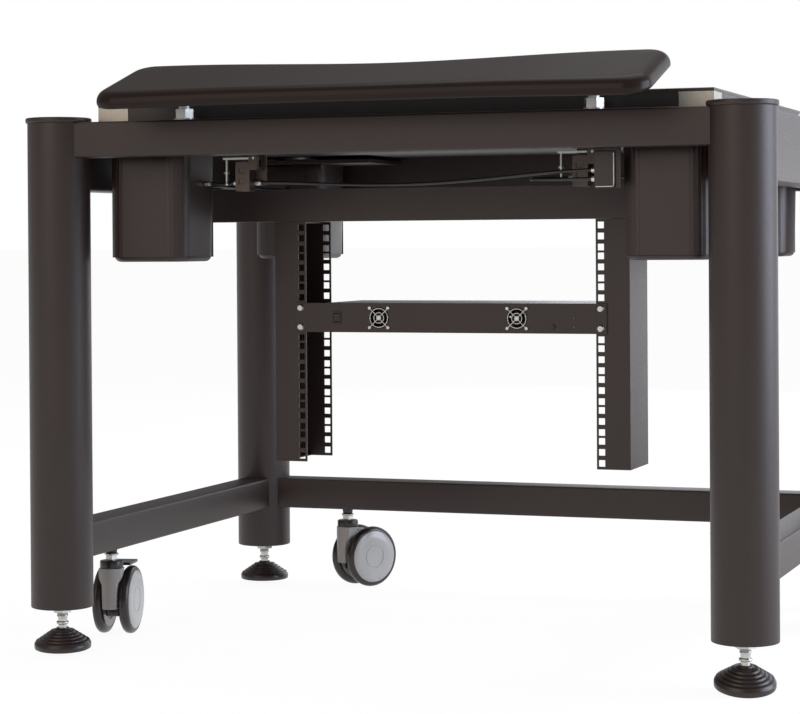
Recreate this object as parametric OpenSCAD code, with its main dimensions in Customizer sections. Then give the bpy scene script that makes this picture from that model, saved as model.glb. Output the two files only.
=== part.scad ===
// Vibration isolation workstation: a steel frame on four round legs carries a floating
// optical breadboard on four air isolators, with an armrest, a hanging equipment rack,
// levelling feet and twin-wheel castors. Origin: on the floor under the frame's centre,
// X to the right, Y away from the user, Z up.

/* [Frame] */
// Distance between the left and right leg axes
leg_span_x = 990; // [900:10:1300]
// Distance between the front and rear leg axes
leg_span_y = 732; // [700:2:1000]
// Outside diameter of a leg
leg_od = 88.9; // [76:0.1:102]
// Wall of a leg
leg_wall = 4; // [3:0.5:6]
// Height of the legs' lower ends above the floor
leg_clear = 60; // [55:1:62]
// Height of the beams' top faces above the floor
beam_top = 752; // [700:1:900]
// Width of every beam
beam_w = 50; // [40:1:60]
// Height of the front upper beam
front_beam_h = 50; // [40:1:60]
// Height of the side and rear upper beams
side_beam_h = 96; // [80:1:110]
// Wall of the beams
beam_wall = 3; // [2:0.5:5]
// Height of the lower beams' top faces above the floor
low_beam_top = 176; // [170:1:200]
// Height of the lower beams
low_beam_h = 50; // [40:1:50]
// Thickness of a leg cap above the tube
cap_h = 7.5; // [5:0.5:12]
// Diameter of a leg cap
cap_d = 94; // [90:0.5:106]

/* [Breadboard] */
// Gap between the breadboard and the side beams
board_gap_x = 20; // [10:1:30]
// Gap between the breadboard and the front and rear beams
board_gap_y = 11; // [8:1:30]
// Height of the breadboard's top above the beams
board_rise = 28; // [20:1:45]
// Thickness of the whole breadboard
board_t = 60; // [50:1:80]
// Thickness of the breadboard's top skin
skin_t = 5; // [3:0.5:8]
// Thickness of the breadboard's side panels and bottom skin
side_t = 2; // [1:0.5:4]
// Width of a bare metal corner block
block_w = 48; // [30:1:70]
// Pitch of the tapped holes
hole_pitch = 50; // [40:5:100]
// Diameter of the tapped holes, to the thread's outside
hole_d = 6.4; // [6.2:0.1:7]

/* [Isolators] */
// Outside width and depth of an isolator cup
cup_w = 124; // [110:1:130]
// Height of an isolator cup's underside above the floor
cup_bottom = 553; // [520:1:580]
// Corner radius of an isolator cup
cup_r = 28; // [15:1:40]
// Wall of an isolator cup
cup_wall = 4; // [3:0.5:6]
// Thickness of the corner plates
plate_t = 6; // [4:1:10]
// Height of a corner plate's underside above the front beam's underside
plate_up = 6; // [4:0.5:7]
// Distance from a cup's outer side to the side beam's inner face
cup_inset_x = 27; // [15:1:45]
// Distance from a cup's outer side to the front beam's inner face
cup_inset_y = 17; // [10:1:40]
// Diameter of an isolator's piston
piston_d = 78; // [60:1:90]

/* [Armrest] */
// Length of the pad
pad_l = 778; // [700:1:860]
// Depth of the pad
pad_d = 171; // [150:1:220]
// Thickness of the pad
pad_t = 22; // [18:1:60]
// Radius of the pad's four corners, seen from above
pad_corner = 35; // [25:1:60]
// Tilt of the pad towards the user, in degrees
pad_tilt = 18; // [4:0.5:22]
// Depth of the hollow in the middle of the pad's front edge
pad_hollow = 8; // [0:1:60]
// Depth by which the pad's rear edge dips in the middle
pad_dish = 7; // [0:0.5:10]
// Distance from the pad's rear edge to the breadboard's front face
pad_gap = 10; // [6:1:40]
// Height of the pad's lowest edge above the beam
pad_lift = 8.5; // [5:0.5:12]
// Sideways distance of the pad's middle from the frame's middle
pad_shift = 13; // [0:1:20]
// Distance between the two studs
stud_span = 594; // [500:2:640]
// Diameter of the studs
stud_d = 16; // [12:1:20]

/* [Rack] */
// Rack height in rack units
rack_units = 8; // [6:1:8]
// Distance between the columns of square holes
rack_hole_span = 465.1; // [460:0.1:470]
// Distance from the front leg axes to the rack's front plane
rack_front = 270; // [240:1:320]
// Depth of the rack channels
rack_depth = 104; // [90:1:120]
// Width of a rack flange
flange_w = 50; // [40:1:60]
// Sheet thickness of the rack channels
rack_t = 2; // [1.5:0.5:3]
// Height of the rack beam
rack_beam_h = 49; // [40:1:50]
// Place of the module, in rack holes from the top
module_hole = 9; // [6:1:15]
// Depth of the module's chassis
chassis_d = 210; // [150:5:240]
// Size of a cooling fan
fan_w = 35; // [30:1:38]
// Distance between the two fans
fan_span = 214; // [180:2:240]

/* [Feet and castors] */
// Diameter of a foot
foot_d = 81; // [76:1:100]
// Diameter of a foot's stem
stem_d = 16; // [12:1:20]
// Distance from a leg axis to the nearest castor, except on the right side
castor_off = 155; // [140:1:180]
// Distance from the rear right leg axis to the right side's castor
castor_right = 166; // [120:2:240]
// Diameter of a castor wheel
wheel_d = 102; // [80:1:104]
// Width of a castor over both wheels
castor_w = 58; // [50:1:62]
// Width of one wheel
wheel_w = 17; // [15:1:21]
// Distance from a castor's swivel axis to its axle
trail = 35; // [28:1:38]
// How far the castor wheels reach below the feet's undersides
wheel_drop = 8.5; // [4:0.5:14]
// Diameter of a castor's stem
castor_stem_d = 12; // [10:1:14]

/* [Air supply] */
// Height of the levelling valves
valve_h = 42; // [34:1:46]
// Width of a levelling valve
valve_w = 22; // [18:1:26]
// Length of a levelling valve's lever
lever_l = 54; // [48:1:60]
// Outside diameter of an air hose
hose_d = 5; // [4:0.5:6]

/* [Hidden] */
$fn = 64;

black_paint = [0.16, 0.14, 0.14];
black_plastic = [0.09, 0.08, 0.08];
zinc = [0.75, 0.74, 0.70];
grey_plastic = [0.62, 0.64, 0.66];
steel = [0.72, 0.70, 0.66];

fit = 0.2;
seat = 0.3;
leg_x = leg_span_x / 2;
leg_y = leg_span_y / 2;
in_x = leg_x - beam_w / 2;
in_y = leg_y - beam_w / 2;
board_x = in_x - board_gap_x;
board_y = in_y - board_gap_y;
board_top = beam_top + board_rise;
board_low = board_top - board_t;
front_beam_low = beam_top - front_beam_h;
side_beam_low = beam_top - side_beam_h;
low_beam_low = low_beam_top - low_beam_h;
corner_signs = [[-1, -1], [1, -1], [-1, 1], [1, 1]];

cup_x = in_x - cup_inset_x - cup_w / 2;
cup_y = in_y - cup_inset_y - cup_w / 2;
plate_low = front_beam_low + plate_up;
plate_in_x = cup_x - cup_w / 2 - 4 * valve_w;
plate_in_y = cup_y - cup_w / 2 - 8;

unit = 44.45;
square_hole = 9.5;
rack_y = -leg_y + rack_front;
rack_beam_low = side_beam_low + 4 - rack_beam_h;
rack_top = rack_beam_low - seat;
rack_low = rack_top - rack_units * unit - 5;
first_hole = rack_top - 2.5 - 6.35;
opening_half = rack_hole_span / 2 - 7.5;
function hole_z(n) = first_hole - floor((n - 1) / 3) * unit - [0, 15.875, 31.75][(n - 1) % 3];
panel_z = (hole_z(module_hole) + hole_z(module_hole + 2)) / 2;
panel_w = 482.6;
panel_h = 43.7;
panel_t = 3;
chassis_w = 2 * opening_half - 20;
chassis_h = 38;

module box_tube(size_x, size_y, size_z, wall, run) {
  // A rectangular tube, centred in X and Y, open along its run
  difference() {
    translate([-size_x / 2, -size_y / 2, 0]) cube([size_x, size_y, size_z]);
    if (run == "x")
      translate([-size_x / 2 - 1, -size_y / 2 + wall, wall])
        cube([size_x + 2, size_y - 2 * wall, size_z - 2 * wall]);
    if (run == "y")
      translate([-size_x / 2 + wall, -size_y / 2 - 1, wall])
        cube([size_x - 2 * wall, size_y + 2, size_z - 2 * wall]);
  }
}

// The parts are drawn round the middle of the four legs, with heights from the feet's undersides. They
// are then moved so that the origin lies on the floor below the middle of the outline
middle_y = 25.465;
module placed() { translate([0, middle_y, wheel_drop]) children(); }

module leg_cuts() {
  // The saddle cuts that let a beam's ends meet the round legs
  for (s = corner_signs)
    translate([s[0] * leg_x, s[1] * leg_y, leg_clear - 1]) cylinder(d = leg_od + 2 * fit, h = beam_top);
}

module at_corners() {
  for (s = corner_signs) translate([s[0] * leg_x, s[1] * leg_y, 0]) children();
}

module legs() placed() {
  color(black_paint) at_corners() {
    translate([0, 0, leg_clear]) difference() {
      cylinder(d = leg_od, h = beam_top - leg_clear);
      translate([0, 0, 12]) cylinder(d = leg_od - 2 * leg_wall, h = beam_top);
      translate([0, 0, -1]) cylinder(d = stem_d + 0.8, h = 14);
    }
  }
}

module leg_caps() placed() {
  color(black_paint) at_corners() translate([0, 0, beam_top + 0.01]) {
    rotate_extrude() polygon([[0, 0], [cap_d / 2 - 1, 0], [cap_d / 2, 1], [cap_d / 2, cap_h - 2.5],
                              [cap_d / 2 - 1, cap_h - 0.8], [cap_d / 2 - 3, cap_h], [0, cap_h]]);
    translate([0, 0, -14]) difference() {
      cylinder(d = leg_od - 2 * leg_wall - 2 * fit, h = 14);
      translate([0, 0, -1]) cylinder(d = leg_od - 4 * leg_wall, h = 15);
    }
  }
}

module beam_x(y, low, h) {
  color(black_paint) difference() {
    translate([0, y, low]) box_tube(leg_span_x, beam_w, h, beam_wall, "x");
    leg_cuts();
  }
}

module beam_y(x, low, h) {
  color(black_paint) difference() {
    translate([x, 0, low]) box_tube(beam_w, leg_span_y, h, beam_wall, "y");
    leg_cuts();
  }
}

module front_upper_beam() placed() {
  difference() {
    beam_x(-leg_y, front_beam_low, front_beam_h);
    for (s = [-1, 1]) translate([s * stud_span / 2, -leg_y, beam_top - beam_wall - 1])
      cylinder(d = stud_d + 1, h = beam_wall + 2);
  }
}
module rear_upper_beam() placed() { beam_x(leg_y, side_beam_low, side_beam_h); }
module left_upper_beam() placed() { beam_y(-leg_x, side_beam_low, side_beam_h); }
module right_upper_beam() placed() { beam_y(leg_x, side_beam_low, side_beam_h); }

module castor_hole() {
  translate([0, 0, low_beam_low - 1]) cylinder(d = castor_stem_d + 0.6, h = beam_wall + 2);
}
module left_lower_beam() placed() {
  difference() {
    beam_y(-leg_x, low_beam_low, low_beam_h);
    translate([-leg_x, -leg_y + castor_off, 0]) castor_hole();
  }
}
module right_lower_beam() placed() {
  difference() {
    beam_y(leg_x, low_beam_low, low_beam_h);
    translate([leg_x, leg_y - castor_right, 0]) castor_hole();
  }
}
module rear_lower_beam() placed() {
  difference() {
    beam_x(leg_y, low_beam_low, low_beam_h);
    for (s = [-1, 1]) translate([s * (leg_x - castor_off), leg_y, 0]) castor_hole();
  }
}

module corner_plates() placed() {
  // Welded shelves in the frame's corners: the cups hang under them, the pistons pass through
  color(black_paint) for (s = corner_signs) difference() {
    translate([0, 0, plate_low]) linear_extrude(plate_t) polygon([
      [s[0] * plate_in_x, s[1] * plate_in_y], [s[0] * (in_x - 0.01), s[1] * plate_in_y],
      [s[0] * (in_x - 0.01), s[1] * (in_y - 0.01)], [s[0] * plate_in_x, s[1] * (in_y - 0.01)]]);
    translate([s[0] * cup_x, s[1] * cup_y, plate_low - 1]) cylinder(d = piston_d + 16, h = plate_t + 2);
    at_corners() cylinder(d = leg_od + 2 * fit, h = beam_top);
  }
}

rack_bolt_x = opening_half + flange_w / 2 + 6;
module rack_beam() placed() {
  // The cross beam that carries the rack, with an end plate at each side beam
  end_t = 6;
  color(black_paint) difference() {
    union() {
    translate([0, rack_y + beam_w / 2, rack_beam_low])
      box_tube(2 * in_x - 2 * end_t - 0.02, beam_w, rack_beam_h, beam_wall, "x");
    for (s = [-1, 1]) translate([s * (in_x - end_t / 2 - 0.01), rack_y + beam_w / 2, rack_beam_low])
      translate([-end_t / 2, -beam_w / 2, 0]) cube([end_t, beam_w, side_beam_low + 40 - rack_beam_low]);
    }
    for (s = [-1, 1]) translate([s * rack_bolt_x, rack_y + beam_w / 2, rack_beam_low - 1])
      cylinder(d = 7, h = beam_wall + 2);
  }
}

module rounded_square(w, r) {
  translate([-w / 2 + r, -w / 2 + r]) square(w - 2 * r);
  for (s = corner_signs) translate([s[0] * (w / 2 - r), s[1] * (w / 2 - r)]) circle(r = r);
  for (a = [0, 90]) rotate(a) square([w, w - 2 * r], center = true);
}

module isolator_cups() placed() {
  // Moulded cups with a rounded floor edge, stepped in 3 levels, and a rim under the plate
  height = plate_low - seat - cup_bottom;
  color(black_plastic) for (s = corner_signs)
    translate([s[0] * cup_x, s[1] * cup_y, cup_bottom]) difference() {
    union() {
      linear_extrude(2.5) rounded_square(cup_w - 11, cup_r - 5.5);
      translate([0, 0, 2.5]) linear_extrude(4.5) rounded_square(cup_w - 4, cup_r - 2);
      translate([0, 0, 7]) linear_extrude(height - 7) rounded_square(cup_w, cup_r);
    }
    translate([0, 0, cup_wall]) linear_extrude(height) rounded_square(cup_w - 2 * cup_wall - 4, cup_r - cup_wall);
  }
}

piston_base = cup_bottom + cup_wall + 50;
module isolator_pistons() placed() {
  // Top disc under the breadboard, stem, and damper plate down in the air chamber
  color(zinc) for (s = corner_signs) translate([s[0] * cup_x, s[1] * cup_y, 0]) {
    translate([0, 0, board_low - 4]) cylinder(d = piston_d, h = 4 - 0.01);
    translate([0, 0, piston_base]) cylinder(d = 24, h = board_low - 4 - piston_base);
    translate([0, 0, piston_base - 6]) cylinder(d = 60, h = 6);
  }
}

module isolator_diaphragms() placed() {
  // The rubber ring that seals each air chamber; the piston's stem runs in it with clearance
  color("#151515") for (s = corner_signs)
    translate([s[0] * cup_x, s[1] * cup_y, plate_low - 12]) difference() {
      linear_extrude(6) rounded_square(cup_w - 2 * cup_wall - 4.4, cup_r - cup_wall);
      translate([0, 0, -1]) cylinder(d = 24.16, h = 8);
    }
}

module breadboard_top_skin() placed() {
  n_x = floor((board_x - 20) / hole_pitch);
  n_y = floor((board_y - 20) / hole_pitch);
  color(steel) translate([0, 0, board_top - skin_t]) linear_extrude(skin_t) difference() {
    square([2 * board_x, 2 * board_y], center = true);
    for (i = [-n_x:n_x], j = [-n_y:n_y]) translate([i * hole_pitch, j * hole_pitch]) circle(d = hole_d);
  }
}

core_low = board_low + side_t;
core_h = board_t - skin_t - side_t;
module breadboard_core() placed() {
  // The bonded core, as a grid of thin webs between the skins
  cells_x = 9;
  cells_y = 7;
  web = 1.6;
  w = 2 * (board_x - block_w - 2 * seat);
  d = 2 * (board_y - side_t - 2 * seat);
  cell_x = (w - web) / cells_x;
  cell_y = (d - web) / cells_y;
  color(steel) translate([0, 0, core_low + 0.01]) linear_extrude(core_h - 0.02) difference() {
    square([w, d], center = true);
    for (i = [0:cells_x - 1], j = [0:cells_y - 1])
      translate([-w / 2 + web + i * cell_x, -d / 2 + web + j * cell_y]) square([cell_x - web, cell_y - web]);
  }
}

module breadboard_shell() placed() {
  // Bottom skin and painted side panels, open at the corner blocks
  color(black_paint) translate([0, 0, board_low]) {
    translate([-board_x + side_t, -board_y + side_t, 0])
      cube([2 * (board_x - side_t), 2 * (board_y - side_t), side_t]);
    for (s = [-1, 1]) {
      translate([-board_x + block_w + seat, s * (board_y - side_t / 2) - side_t / 2, 0])
        cube([2 * (board_x - block_w - seat), side_t, board_t - skin_t - 0.01]);
      translate([s * (board_x - side_t / 2) - side_t / 2, -board_y + block_w + seat, 0])
        cube([side_t, 2 * (board_y - block_w - seat), board_t - skin_t - 0.01]);
    }
  }
}

module breadboard_corner_blocks() placed() {
  color(steel) for (s = corner_signs)
    translate([s[0] * (board_x - block_w / 2), s[1] * (board_y - block_w / 2), core_low + 0.01])
      translate([-block_w / 2 + (s[0] < 0 ? 0 : 2 * seat), -block_w / 2 + (s[1] < 0 ? 0 : 0), 0])
        cube([block_w - 2 * seat, block_w, core_h - 0.02]);
}

// The armrest pad's plan outline: four round corners and a slightly hollowed front edge
pad_rear = -board_y - pad_gap;
pad_flat = pad_l / 2 - pad_corner;
pad_steps = 12;
pad_across = [for (i = [1:2 * pad_steps - 1]) pad_flat * (1 - i / pad_steps)];
function blend(t) = t <= 0 ? 0 : t >= 1 ? 1 : t * t * (3 - 2 * t);
function pad_arc(x, y, start, inset) = [for (i = [0:6]) let(a = start - 15 * i)
  [x + (pad_corner - inset) * cos(a), y + (pad_corner - inset) * sin(a)]];
function pad_outline(inset) = concat(
  pad_arc(-pad_flat, -pad_d + pad_corner, -90, inset), pad_arc(-pad_flat, -pad_corner, 180, inset),
  [for (x = pad_across) [-x, -inset]],
  pad_arc(pad_flat, -pad_corner, 90, inset), pad_arc(pad_flat, -pad_d + pad_corner, 0, inset),
  [for (x = pad_across) [x, -pad_d + inset + pad_hollow * blend((pad_flat - abs(x)) / (pad_l / 4))]]);

// Each level: [distance inside the outline, height as a share of the thickness]
pad_levels = [[5, 0], [1.2, 0.12], [0, 0.3], [0.8, 0.5], [3, 0.73], [7, 0.89], [15, 0.98], [25, 1]];
function pad_height(x, y, share) =
  share * (pad_t - pad_dish * blend(1 - abs(x) / (0.42 * pad_l)) * (y + pad_d) / pad_d);
module armrest_pad_body() {
  rings = [for (lv = pad_levels) [for (p = pad_outline(lv[0])) [p[0], p[1], pad_height(p[0], p[1], lv[1])]]];
  n = len(rings[0]);
  levels = len(rings);
  middle = (-pad_d + pad_hollow) / 2;
  polyhedron(
    points = concat([for (ring = rings) for (p = ring) p],
                    [[0, middle, 0], [0, middle, pad_height(0, middle, 1) + 0.5]]),
    faces = concat(
      [for (k = [0:levels - 2], i = [0:n - 1]) [k * n + i, (k + 1) * n + i, (k + 1) * n + (i + 1) % n]],
      [for (k = [0:levels - 2], i = [0:n - 1]) [k * n + i, (k + 1) * n + (i + 1) % n, k * n + (i + 1) % n]],
      [for (i = [0:n - 1]) [levels * n, i, (i + 1) % n]],
      [for (i = [0:n - 1]) [levels * n + 1, (levels - 1) * n + (i + 1) % n, (levels - 1) * n + i]]));
}

module at_pad() {
  // The pad's tilted seat: its front edge is the lowest
  translate([pad_shift, pad_rear, beam_top + pad_lift + pad_d * sin(pad_tilt)]) rotate([pad_tilt, 0, 0]) children();
}

module armrest_pad() placed() {
  color(black_plastic) at_pad() armrest_pad_body();
}

stud_y = -leg_y;
plate_depth = 70;
plate_thick = 4;
module armrest_plate() placed() {
  // The steel plate under the pad, drilled for the studs
  color(black_paint) difference() {
    at_pad() translate([-pad_shift - stud_span / 2 - 40, -plate_depth - 4, -plate_thick - seat])
      cube([stud_span + 80, plate_depth, plate_thick]);
    for (s = [-1, 1]) translate([s * stud_span / 2, stud_y, beam_top]) cylinder(d = stud_d - 5.4, h = 80);
  }
}

pad_under_stud = beam_top + pad_lift + pad_d * sin(pad_tilt) - (pad_rear - stud_y) * tan(pad_tilt);
module armrest_studs() placed() {
  // Studs through the front beam's top wall, with a nut inside the beam and a washer and nut above it
  nut_h = 13;
  nut_af = 1.5 * stud_d;
  top = pad_under_stud - (plate_thick + seat) / cos(pad_tilt) - stud_d / 2 * tan(pad_tilt) - 0.6;
  color(zinc) for (s = [-1, 1]) translate([s * stud_span / 2, stud_y, 0]) {
    translate([0, 0, beam_top - beam_wall - nut_h - 3]) cylinder(d = stud_d, h = top - beam_top + beam_wall + nut_h + 3);
    translate([0, 0, top]) cylinder(d = stud_d - 6, h = plate_thick);
    translate([0, 0, beam_top + 0.01]) cylinder(d = 30, h = 2.5);
    translate([0, 0, beam_top + 2.5]) cylinder(d = nut_af / cos(30), h = nut_h, $fn = 6);
    translate([0, 0, beam_top - beam_wall - nut_h - 0.01]) cylinder(d = nut_af / cos(30), h = nut_h, $fn = 6);
  }
}

module rack_channel(side) {
  // A C channel with two flanges of square holes, a top plate and a bottom lip
  h = rack_top - rack_low;
  outer = opening_half + flange_w;
  color(black_paint) mirror([side < 0 ? 1 : 0, 0, 0]) difference() {
    union() {
      translate([opening_half, rack_y, rack_low]) cube([flange_w, rack_t, h]);
      translate([opening_half, rack_y + rack_depth - rack_t, rack_low]) cube([flange_w, rack_t, h]);
      translate([outer - rack_t, rack_y, rack_low]) cube([rack_t, rack_depth, h]);
      translate([opening_half + 14, rack_y, rack_top - rack_t]) cube([flange_w - 14, rack_depth, rack_t]);
      translate([outer - 16, rack_y, rack_low]) cube([16, rack_depth, rack_t]);
    }
    for (n = [1:3 * rack_units])
      translate([rack_hole_span / 2 - square_hole / 2, rack_y - 1, hole_z(n) - square_hole / 2])
        cube([square_hole, rack_depth + 2, square_hole]);
    translate([rack_bolt_x, rack_y + beam_w / 2, rack_top - 10]) cylinder(d = 7, h = 20);
  }
}
module rack_left_channel() placed() { rack_channel(-1); }
module rack_right_channel() placed() { rack_channel(1); }

module rack_screws() placed() {
  // Four panel screws in their cage nuts, and the two bolts that hold the channels to the beam
  color(zinc) {
    for (s = [-1, 1], n = [module_hole, module_hole + 2])
      translate([s * rack_hole_span / 2, rack_y - panel_t, hole_z(n)]) rotate([90, 0, 0]) {
        translate([0, 0, 0.3]) cylinder(d1 = 11, d2 = 8, h = 3.2);
        translate([0, 0, -14]) cylinder(d = 6, h = 14.3);
        translate([-4.5, -4.5, -panel_t - rack_t - 5]) cube([9, 9, 4.6]);
      }
    for (s = [-1, 1]) translate([s * rack_bolt_x, rack_y + beam_w / 2, 0]) {
      translate([0, 0, rack_top - rack_t - 5.5]) cylinder(d = 13 / cos(30), h = 5.2, $fn = 6);
      translate([0, 0, rack_top - rack_t - 1]) cylinder(d = 6.4, h = 5);
    }
  }
}

function fan_x(s) = s * fan_span / 2;
switch_x = -174.5;
button_x = 162;
button_z = panel_z - 12;
light_x = chassis_w / 2 - 22.05;
module module_panel() placed() {
  color(black_paint) difference() {
    translate([-panel_w / 2, rack_y - panel_t - 0.01, panel_z - panel_h / 2]) cube([panel_w, panel_t, panel_h]);
    for (s = [-1, 1]) {
      translate([fan_x(s), rack_y + 1, panel_z]) rotate([90, 0, 0]) cylinder(d = fan_w - 4, h = panel_t + 2);
      for (n = [module_hole, module_hole + 2]) translate([s * rack_hole_span / 2, rack_y + 1, hole_z(n)])
        rotate([90, 0, 0]) cylinder(d = 7, h = panel_t + 2);
    }
    translate([switch_x - 6, rack_y - panel_t - 1, panel_z - 8]) cube([12, panel_t + 2, 16]);
    translate([button_x, rack_y + 1, button_z]) rotate([90, 0, 0]) cylinder(d = 6.14, h = panel_t + 2);
    for (dz = [1, -12]) translate([light_x, rack_y + 1, panel_z + dz]) rotate([90, 0, 0])
      cylinder(d = 3.4, h = panel_t + 2);
  }
}

module module_chassis() placed() {
  // The folded box behind the panel, open at the top for its lid
  t = 1.5;
  color(black_paint) difference() {
    translate([-chassis_w / 2, rack_y, panel_z - chassis_h / 2]) cube([chassis_w, chassis_d, chassis_h]);
    translate([-chassis_w / 2 + t, rack_y + t, panel_z - chassis_h / 2 + t])
      cube([chassis_w - 2 * t, chassis_d - 2 * t, chassis_h]);
    for (s = [-1, 1]) translate([fan_x(s) - fan_w / 2 - 1, rack_y - 1, panel_z - fan_w / 2 - 0.5])
      cube([fan_w + 2, t + 2, chassis_h]);
    translate([switch_x - 9, rack_y - 1, panel_z - 11]) cube([18, t + 2, chassis_h]);
    translate([button_x - 5, rack_y - 1, button_z - 5]) cube([10, t + 2, chassis_h]);
    translate([light_x - 4, rack_y - 1, button_z - 5]) cube([8, t + 2, chassis_h]);
    for (k = [0:7]) translate([-120 + 34 * k, rack_y + chassis_d - t - 1, panel_z - 8]) cube([22, t + 2, 4]);
  }
}

module module_lid() placed() {
  color([0.75, 0.76, 0.76])
    translate([-chassis_w / 2, rack_y + 0.01, panel_z + chassis_h / 2 + 0.01]) cube([chassis_w, chassis_d, 1.5]);
}

module fan_housings() placed() {
  color(black_plastic) for (s = [-1, 1])
    translate([fan_x(s), rack_y + 0.01, panel_z]) rotate([-90, 0, 0]) difference() {
    union() {
      difference() {
        translate([-fan_w / 2, -fan_w / 2, 0]) cube([fan_w, fan_w, 12]);
        translate([0, 0, -1]) cylinder(d = fan_w - 3, h = 14);
      }
      translate([0, 0, 10]) cylinder(d = fan_w * 0.4, h = 2);
      for (a = [0, 90]) rotate(a) translate([-fan_w / 2 + 1, -1.3, 10]) cube([fan_w - 2, 2.6, 2]);
      translate([0, 0, 4]) cylinder(d = 3, h = 7);
    }
    for (c = corner_signs) translate([c[0] * (fan_w / 2 - 3), c[1] * (fan_w / 2 - 3), -1])
      cylinder(d = 3.2, h = 15);
  }
}

module fan_guards() placed() {
  // Wire guards with their four screws
  wire = 1.6;
  color(zinc) for (s = [-1, 1]) translate([fan_x(s), rack_y - panel_t - 0.3 - wire / 2, panel_z]) rotate([90, 0, 0]) {
    for (r = [fan_w * 0.40, fan_w * 0.22]) rotate_extrude() translate([r, 0]) circle(d = wire, $fn = 16);
    for (a = [0:3]) rotate(a * 90 + 45) translate([3, 0, 0.2]) rotate([0, 90, 0])
      cylinder(d = wire, h = fan_w * 0.66 - 3, $fn = 16);
    cylinder(d = 7, h = wire, center = true);
    for (c = corner_signs) translate([c[0] * (fan_w / 2 - 3), c[1] * (fan_w / 2 - 3), -0.7]) cylinder(d = 4.6, h = 2);
  }
}

module fan_rotor(s) {
  color(black_plastic) translate([fan_x(s), rack_y + 2, panel_z]) rotate([-90, 0, 0]) {
    difference() {
      cylinder(d = fan_w * 0.4, h = 7.5);
      translate([0, 0, 1.7]) cylinder(d = 3.12, h = 7);
    }
    for (k = [0:6]) rotate(k * 360 / 7) translate([fan_w * 0.17, 0, 3.8]) rotate([35, 0, 0])
      translate([0, -3, -0.5]) cube([fan_w * 0.24, 6, 1]);
  }
}
module fan_rotor_left() placed() { fan_rotor(-1); }
module fan_rotor_right() placed() { fan_rotor(1); }

module switch_housing() placed() {
  color(black_plastic) translate([switch_x, rack_y, panel_z]) difference() {
    union() {
      translate([-5.8, -panel_t - 0.5, -7.8]) cube([11.6, 17.5, 15.6]);
      translate([-7, -panel_t - 1.63, -9.5]) cube([14, 1.6, 19]);
    }
    translate([-4.6, -panel_t - 3, -6.8]) cube([9.2, 13, 13.6]);
    rotate([0, 90, 0]) cylinder(d = 2.1, h = 20, center = true);
  }
}
module rocker_switch() placed() {
  color("#101010") translate([switch_x, rack_y, panel_z]) rotate([0, 90, 0]) {
    translate([0, -panel_t + 0.8, -4.3]) linear_extrude(8.6)
      polygon([[-6, 4], [-6, -3.4], [-2, -2.2], [2, -2.2], [6, -1.6], [6, 4], [2, 6], [-2, 6]]);
    cylinder(d = 2, h = 11, center = true);
  }
}
module push_button() placed() {
  color("#202020") translate([button_x, rack_y + 3, button_z]) rotate([90, 0, 0]) {
    cylinder(d = 6, h = panel_t + 5);
    translate([0, 0, -1]) cylinder(d = 9, h = 3.6);
  }
}
module indicator_lights() placed() {
  color("#6a7a5c") for (dz = [1, -12]) translate([light_x, rack_y + 0.3, panel_z + dz]) rotate([90, 0, 0]) {
    cylinder(d = 3, h = panel_t + 0.9);
    translate([0, 0, -3]) cylinder(d = 5, h = 3);
  }
}

control_x = cup_x - cup_w / 2 - 15;
module control_bracket() placed() {
  // An angle bolted under the front beam
  color(black_paint) {
    translate([control_x - 13, -in_y + 3, front_beam_low - 53]) cube([35, 2, 53 - 0.3]);
    translate([control_x - 13, -in_y - beam_w / 2 + 16.5, front_beam_low - 2.3]) cube([35, beam_w / 2 - 11.5, 2]);
  }
}
module control_panel() placed() {
  color(black_plastic) difference() {
    translate([control_x - 14, -in_y - 0.01, front_beam_low - 52]) cube([28, 3, 48]);
    for (dz = [14, 34]) translate([control_x - 9, -in_y + 4, front_beam_low - dz]) rotate([90, 0, 0]) cylinder(d = 5, h = 2.6);
  }
}

// Levelling valves: [middle of the valve in X and Y]
valve_x = cup_x - cup_w / 2 - 3 * valve_w - 2;
valve_y = cup_y - 4;
valve_top = plate_low - 12;
valve_spots = [[-valve_x, -valve_y], [valve_x, -valve_y], [valve_x, valve_y]];
lever_pivot_x = valve_w / 2 + 6;
lever_pivot_z = valve_top + 5;
module levelling_valves() placed() {
  // A valve block on a bracket under the corner plate, with the lever's fork on its right
  color([0.36, 0.33, 0.31]) for (p = valve_spots) translate([p[0], p[1], 0]) difference() {
    union() {
      translate([-valve_w / 2, -12, valve_top - valve_h]) cube([valve_w, 24, valve_h]);
      translate([-valve_w / 2, 12, valve_top - valve_h + 8]) cube([valve_w + 16, 3, plate_low - 0.3 - valve_top + valve_h - 8]);
      translate([valve_w / 2 - 1, 5, valve_top - 12]) cube([13, 8, 21]);
      translate([valve_w / 2 - 1, -13, valve_top - 12]) cube([13, 8, 21]);
      translate([valve_w / 2 - 1, -13, valve_top - 12]) cube([13, 26, 4]);
    }
    for (dz = [12, 27]) translate([-valve_w / 2 + 5, -13, valve_top - dz - 5]) cube([10, 2.5, 8]);
    translate([lever_pivot_x, 20, lever_pivot_z]) rotate([90, 0, 0]) cylinder(d = 4.06, h = 40);
  }
}

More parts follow.
